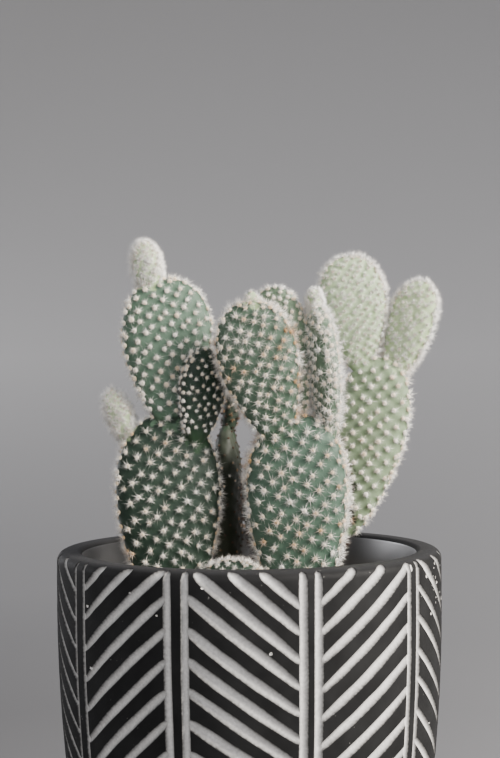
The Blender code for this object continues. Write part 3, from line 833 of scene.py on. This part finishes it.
def cactus_skin():
    """Epidermis of a bunny ear cactus: minutely velvety, so matt, and mottled grey-green under a waxy coat,
    with painted light and shade: darker round each areole and on pads in shade, lighter on lit ones.
    """
    made, tree, shader = surface("cactus skin", IOR=1.4, Sheen_Weight=0.08, Sheen_Roughness=0.45)
    place = add(tree, "ShaderNodeTexCoord").outputs["Object"]
    mottle = speckle(tree, place, 1.9)
    velvet = speckle(tree, place, 0.35, detail=2.0)
    old = ramp(tree, mottle, (0.25, "17291d"), (0.75, "25392b"))
    young = ramp(tree, mottle, (0.25, "a0b783"), (0.75, "c0cfa9"))
    # Waxiness is partly painted light: pads in shade get less of it and so a darker skin, lit ones more
    waxed_and_painted_light = blend_colours(tree, read_attribute(tree, "bloom"), old, srgb("668470"))
    # Painted shade: the skin is darker round each areole, under its tuft
    near_areole = span(tree, read_attribute(tree, "areole"), 0.0, 1.0, 0.0, 0.7)
    with_areole_shade = blend_colours(tree, near_areole, waxed_and_painted_light, srgb("1c2a20"))
    # Painted shade: pads that lie in shadow get a dark olive-brown skin
    with_painted_pad_shade = blend_colours(tree, read_attribute(tree, "painted_pad_shade"), with_areole_shade, srgb("353a2e"))
    grown = blend_colours(tree, read_attribute(tree, "age"), young, with_painted_pad_shade)
    near_foot = span(tree, read_attribute(tree, "foot"), 0.0, 1.0, 0.0, 0.3)
    fresh = blend_colours(tree, near_foot, grown, srgb("40693a"))
    tree.links.new(fresh, shader.inputs["Base Color"])
    tree.links.new(span(tree, velvet, 0.3, 0.7, 0.5, 0.66), shader.inputs["Roughness"])
    roughen(tree, shader, velvet, 0.06, 0.6)
    return made


def glochids():
    """Glochids: fine barbed bristles, nearly white, some cream and a few scorched brown; their darkest
    brown is painted shade on tufts of pads in shadow.
    """
    made, tree, shader = surface("glochids", IOR=1.5, Roughness=0.55)
    tint = read_attribute(tree, "tint")
    tree.links.new(ramp(tree, tint, (0.0, "fffefa"), (0.5, "fbf3e8"), (0.75, "c79f78"), (1.0, "4a3526")),
                   shader.inputs["Base Color"])
    return made


def areole_felt():
    """Areole felt: short matted wool, cream to peach, so soft that it has no shine."""
    made, tree, shader = surface("areole felt", IOR=1.4, Roughness=0.95, Sheen_Weight=0.3)
    place = add(tree, "ShaderNodeTexCoord").outputs["Object"]
    wool = speckle(tree, place, 0.25, detail=2.0)
    tint = read_attribute(tree, "tint")
    # The felt's dark brown end is painted shade on the tufts of pads in shadow
    felt = ramp(tree, tint, (0.0, "fdf6ec"), (0.3, "f6e4c8"), (0.6, "cfa874"), (1.0, "40291b"))
    tree.links.new(blend_colours(tree, span(tree, wool, 0.4, 0.75, 0.0, 0.3), felt, srgb("c0a680")),
                   shader.inputs["Base Color"])
    roughen(tree, shader, wool, 0.12, 0.9)
    return made


def shape_of(piece):
    """A small shape's points in millimetres and its triangles, after which it goes."""
    select_only(piece)
    bpy.ops.object.mode_set(mode="EDIT")
    bpy.ops.mesh.select_all(action="SELECT")
    bpy.ops.mesh.quads_convert_to_tris()
    bpy.ops.object.mode_set(mode="OBJECT")
    faces = np.array([face.vertices[:] for face in piece.data.polygons])
    points = points_of(piece)
    bpy.data.objects.remove(piece)
    return points, faces


def tuft_kinds(brush, rng):
    """A few tufts of one brush to copy, and how many of their triangles are the cushion's."""
    bpy.ops.object.select_all(action="DESELECT")
    middle = (0, 0, 0.5 * MM)
    bpy.ops.mesh.primitive_cone_add(vertices=3, radius1=brush.foot * MM, depth=MM, location=middle)
    bristle, bristle_faces = shape_of(last_added("bristle"))
    bpy.ops.mesh.primitive_uv_sphere_add(segments=7, ring_count=4, radius=brush.cushion * MM)
    cushion, cushion_faces = shape_of(last_added("cushion"))
    kinds = []
    for _ in range(KINDS_OF_EACH):
        points = [cushion * [1, 1, CUSHION_HEIGHT] + rng.normal(0, 0.04, cushion.shape)]
        faces = [cushion_faces]
        for number in range(brush.long + brush.short):
            if number < brush.long:
                length, widest = brush.long_length, brush.long_angle
            else:
                length, widest = brush.short_length, brush.short_angle
            tip = math.acos(rng.uniform(math.cos(math.radians(widest)), 1.0))
            turn = GOLDEN_TURN * math.tau * number + rng.normal(0, 0.3)
            aim = Vector((math.sin(tip) * math.cos(turn), math.sin(tip) * math.sin(turn), math.cos(tip)))
            turned = np.array(aim.to_track_quat("Z", "Y").to_matrix())
            root = np.array(aim) * brush.cushion * BRISTLE_ROOT
            faces.append(bristle_faces + sum(len(p) for p in points))
            points.append((bristle * [1, 1, length * rng.uniform(0.65, 1.2)]) @ turned.T + root)
        kinds.append((np.concatenate(points), np.concatenate(faces)))
    return kinds, len(cushion_faces)


def joined(name, points, faces, materials):
    """A piece of placed copies, from lists of their points and of their triangles."""
    mesh = bpy.data.meshes.new(name)
    mesh.from_pydata((np.concatenate(points) * MM).tolist(), [], np.concatenate(faces).tolist())
    for material in materials:
        mesh.materials.append(material)
    made = bpy.data.objects.new(name, mesh)
    bpy.context.scene.collection.objects.link(made)
    return made


def tufts(name, seats, normals, sizes, brushes, tints, kinds, materials, rng):
    """A stem's tufts as one piece: on each seat a copy of one of its brush's kinds, spun and sized."""
    points, faces, shades, felt = [], [], [], []
    count = 0
    for seat, normal, size, brush, tint in zip(seats, normals, sizes, brushes, tints):
        shapes, felt_faces = kinds[brush]
        shape, triangles = shapes[rng.integers(len(shapes))]
        lean = Vector(normal + rng.normal(0, 0.08, 3)).normalized()
        spin = Matrix.Rotation(rng.uniform(0, math.tau), 3, "Z")
        turned = np.array(lean.to_track_quat("Z", "Y").to_matrix() @ spin)
        grown = shape * size * rng.uniform(0.88, 1.12)
        points.append(grown @ turned.T + seat)
        faces.append(triangles + count)
        shades.append(np.full(len(shape), tint))
        felt.append(np.arange(len(triangles)) < felt_faces)
        count += len(shape)
    made = joined(name, points, faces, materials)
    made.data.polygons.foreach_set("material_index", np.concatenate(felt).astype(np.int32))
    add_attribute(made, "tint", np.concatenate(shades))
    made.data.shade_smooth()
    return made


def stem(name, pads, kinds, skin_material, tuft_materials, rng):
    """One stem: its pads grown into one skin, and its tufts."""
    skins, places, seats, normals, sizes, brushes, rust = [], [], [], [], [], [], []
    for number, pad in enumerate(pads):
        spots = areoles(pad, rng)
        made, pad_seats, pad_normals = pad_skin(f"{name}_skin_{number}", pad, spots, 3.7 * number)
        skins.append(made)
        open_air = (pad_seats[:, 2] > SOIL_LEVEL - 1) & (spots[:, 2] > min(BARE_FOOT, 0.12 * pad.length))
        for other in pads:
            if other is not pad:
                open_air &= depth_in(other, pad_seats + 0.4 * pad_normals) < -0.05
        places.append(pad_seats)
        seats.append(pad_seats[open_air])
        normals.append(pad_normals[open_air])
        brushes += [pad.brush] * int(open_air.sum())
        width, _ = half_sizes(pad, np.arccos(np.clip(1 - 2 * spots[:, 2] / pad.length, -1, 1)))
        margin = np.abs(spots[open_air, 0]) / np.maximum(width[open_air], 0.1)
        sizes.append(pad.tuft * np.where(margin > MARGIN_TUFTS_PAST, MARGIN_TUFTS, 1.0))
        rust.append(pad.rust * (1 + MARGIN_RUST * (margin > MARGIN_RUST_PAST)))
    grown = skins[0]
    if len(skins) > 1:
        apply_boolean(grown, skins[1:], "UNION")
    grown.name = f"{name}_pads"
    grown.data.materials.clear()
    grown.data.materials.append(skin_material)
    points = points_of(grown)
    owner = np.concatenate([np.full(len(p), i) for i, p in enumerate(places)])
    near, gap = nearest(tree_of(np.concatenate(places)), points)
    owner = owner[near]
    spacing, age, bloom, pad_rust_and_shade = np.array([(p.spacing, p.age, p.bloom, p.rust) for p in pads])[owner].T
    to_pad = np.array([np.linalg.inv(placing(pad)) for pad in pads])[owner]
    height = np.einsum("ij,ij->i", to_pad[:, 2, :3], points) + to_pad[:, 2, 3]
    # High rust marks a pad in shadow, whose skin gets painted shade
    unshaded, fully_shaded = PAINTED_SHADE_RUST
    painted_pad_shade = np.clip((pad_rust_and_shade - unshaded) / (fully_shaded - unshaded), 0, 1)
    add_attribute(grown, "areole", np.exp(-(gap / (AREOLE_RING * spacing)) ** 2))
    add_attribute(grown, "age", age)
    add_attribute(grown, "bloom", bloom)
    add_attribute(grown, "painted_pad_shade", painted_pad_shade)
    add_attribute(grown, "foot", np.clip(1 - height / FRESH_FOOT, 0, 1) * (1 - painted_pad_shade))
    select_only(grown)
    bpy.ops.object.shade_smooth()
    seats = np.concatenate(seats)
    # Rust, and painted shade on pads in shadow, whose tufts go dark brown
    tuft_rust_and_shade = np.concatenate(rust) * (1 + RUST_DRIFT * waves(seats, 8.0, 2.3))
    scatter = rng.uniform(-TINT_SCATTER, TINT_SCATTER, len(seats))
    tints = TINT + TINT_DRIFT * waves(seats, 11.0) + scatter + tuft_rust_and_shade
    bristles = tufts(f"{name}_bristles", seats, np.concatenate(normals), np.concatenate(sizes), brushes,
                     np.clip(tints, 0, 1), kinds, tuft_materials, rng)
    return grown, bristles


def lump(x, y):
    """Height of the soil's top above its level."""
    mounds = np.sin(x / 5.3 + 1.1) * np.cos(y / 6.1)
    return SOIL_LUMP * (0.6 * mounds + 0.4 * np.sin((x - 1.7 * y) / 7.9))


def peat():
    """Damp peat and fine bark: nearly black-brown crumbs with straw-coloured fibres."""
    made, tree, shader = surface("peat", IOR=1.4)
    place = add(tree, "ShaderNodeTexCoord").outputs["Object"]
    crumbs = speckle(tree, place, 1.6, detail=6.0)
    fibres = span(tree, speckle(tree, place, 0.8, detail=3.0), 0.66, 0.72, 0.0, 0.6)
    body = ramp(tree, crumbs, (0.3, "1c1510"), (0.55, "3a2b20"), (0.8, "5a4634"))
    tree.links.new(blend_colours(tree, fibres, body, srgb("8f7654")), shader.inputs["Base Color"])
    tree.links.new(span(tree, crumbs, 0.3, 0.7, 0.95, 0.8), shader.inputs["Roughness"])
    roughen(tree, shader, crumbs, 0.7, 1.0)
    return made


def pumice():
    """Pumice: pale grey volcanic froth, chalky, with pores a fraction of a millimetre wide, darker inside
    by painted shade.
    """
    made, tree, shader = surface("pumice", IOR=1.45)
    place = add(tree, "ShaderNodeTexCoord").outputs["Object"]
    pores = speckle(tree, place, 0.5, kind="ShaderNodeTexVoronoi", output="Distance")
    stain = speckle(tree, place, 4.0)
    stone = ramp(tree, stain, (0.3, "8d8477"), (0.6, "aba499"))
    # Painted shade in the pores
    with_pore_shade = blend_colours(tree, span(tree, pores, 0.05, 0.3, 0.7, 0.0), stone, srgb("5f574c"))
    tree.links.new(with_pore_shade, shader.inputs["Base Color"])
    tree.links.new(span(tree, stain, 0.3, 0.7, 0.85, 0.97), shader.inputs["Roughness"])
    roughen(tree, shader, pores, 0.25, 0.8)
    return made


def bark():
    """Composted pine bark: red-brown flakes, dull, with a fine grain and darker edges."""
    made, tree, shader = surface("pine bark", IOR=1.45)
    place = add(tree, "ShaderNodeTexCoord").outputs["Object"]
    layers = speckle(tree, place, 1.4, detail=5.0)
    flakes = ramp(tree, layers, (0.28, "2b1b12"), (0.5, "573a26"), (0.75, "80593b"))
    tree.links.new(flakes, shader.inputs["Base Color"])
    tree.links.new(span(tree, layers, 0.3, 0.7, 0.9, 0.72), shader.inputs["Roughness"])
    roughen(tree, shader, layers, 0.35, 0.9)
    return made


def potting_mix():
    """The plug of mix that the stems stand in, with a crumbly top."""
    floor_z = BASE_THICKNESS + SOIL_GAP
    corner = (inner_radius(floor_z + FLOOR_ROUNDING) - FLOOR_ROUNDING, floor_z + FLOOR_ROUNDING)
    rings = arc(corner, FLOOR_ROUNDING - SOIL_GAP, -90, 0, 3)
    rings += [(inner_radius(z) - SOIL_GAP, z) for z in np.linspace(corner[1], SOIL_LEVEL - 1, 6)[1:]]
    edge = inner_radius(SOIL_LEVEL) - SOIL_GAP
    steps = round(edge / SOIL_STEP)
    rings += [(edge * (steps - i) / steps, SOIL_LEVEL) for i in range(steps)]
    made = turned_wall("potting_mix", rings, SOIL_SIDES)
    points = points_of(made)
    top = points[:, 2] > SOIL_LEVEL - 0.5
    crumbs = 0.45 * waves(points[top], 2.6, 1.0) + 0.3 * waves(points[top], 1.3, 5.0)
    points[top, 2] += lump(points[top, 0], points[top, 1]) + crumbs
    set_points(made, points)
    made.data.materials.append(peat())
    select_only(made)
    bpy.ops.object.shade_smooth_by_angle(angle=math.radians(50))
    return made


def grain_shape():
    """A rounded pebble of a few dozen faces."""
    bpy.ops.object.select_all(action="DESELECT")
    bpy.ops.mesh.primitive_cube_add(size=2 * MM)
    made = last_added("grain")
    bpy.ops.object.mode_set(mode="EDIT")
    bpy.ops.mesh.subdivide(number_cuts=1, smoothness=1.0)
    bpy.ops.object.mode_set(mode="OBJECT")
    return shape_of(made)


def flake_shape():
    """A flake with worn edges."""
    bpy.ops.object.select_all(action="DESELECT")
    bpy.ops.mesh.primitive_cube_add(size=2 * MM)
    made = last_added("flake")
    bpy.ops.object.mode_set(mode="EDIT")
    bpy.ops.mesh.select_mode(type="EDGE")
    bpy.ops.mesh.select_all(action="SELECT")
    bpy.ops.mesh.bevel(offset=0.35 * MM, segments=1, affect="EDGES")
    bpy.ops.object.mode_set(mode="OBJECT")
    return shape_of(made)


def scattered(name, model, grit, taken, material, rng):
    """Grains strewn on the soil, each a copy that is sized, dented and turned, clear of the stems."""
    shape, faces = model
    points, triangles = [], []
    total = 0
    reach = inner_radius(SOIL_LEVEL) - 2.5
    for _ in range(grit.count * 12):
        if len(points) == grit.count:
            break
        x, y = rng.uniform(-reach, reach, 2)
        size = rng.uniform(*grit.sizes)
        z = SOIL_LEVEL + lump(x, y)
        crowded = any(math.hypot(x - a, y - b) < GRAIN_SPACING * (size + c) for a, b, c in taken)
        if crowded or math.hypot(x, y) > reach:
            continue
        here = np.array([[x, y, z + 1]])
        if any(depth_in(pads[0], here)[0] > -0.5 for pads in STEMS.values()):
            continue
        taken.append((x, y, size))
        stretch = size * np.array([rng.uniform(0.8, 1.25), rng.uniform(0.65, 1.0), grit.flatness])
        grain = shape * stretch * rng.uniform(0.86, 1.14, shape.shape)
        tip = Matrix.Rotation(rng.normal(0, 0.35), 3, "X") @ Matrix.Rotation(rng.normal(0, 0.35), 3, "Y")
        turned = np.array(tip @ Matrix.Rotation(rng.uniform(0, math.tau), 3, "Z"))
        points.append(grain @ turned.T + [x, y, z + GRAIN_LIFT * size * grit.flatness])
        triangles.append(faces + total)
        total += len(grain)
    made = joined(name, points, triangles, [material])
    select_only(made)
    bpy.ops.object.shade_smooth_by_angle(angle=math.radians(40))
    return made


def soil():
    """The plug of mix, with pumice and bark on it."""
    rng = np.random.default_rng(8)
    taken = []
    placed(potting_mix(), "soil", "soil")
    placed(scattered("pumice_grit", grain_shape(), PUMICE, taken, pumice(), rng), "soil")
    placed(scattered("bark_chips", flake_shape(), BARK, taken, bark(), rng), "soil")


def plant():
    """All the stems: on each, a skin that stands for its solid, and its bristles."""
    rng = np.random.default_rng(21)
    kinds = {name: tuft_kinds(brush, rng) for name, brush in BRUSHES.items()}
    skin_material = cactus_skin()
    tuft_materials = [glochids(), areole_felt()]
    for name, pads in STEMS.items():
        grown, bristles = stem(name, pads, kinds, skin_material, tuft_materials, rng)
        placed(grown, "cactus", name)
        placed(bristles, "cactus")


camera()
studio()
lights()
placed(carved_pot(), "pot", "pot")
soil()
plant()
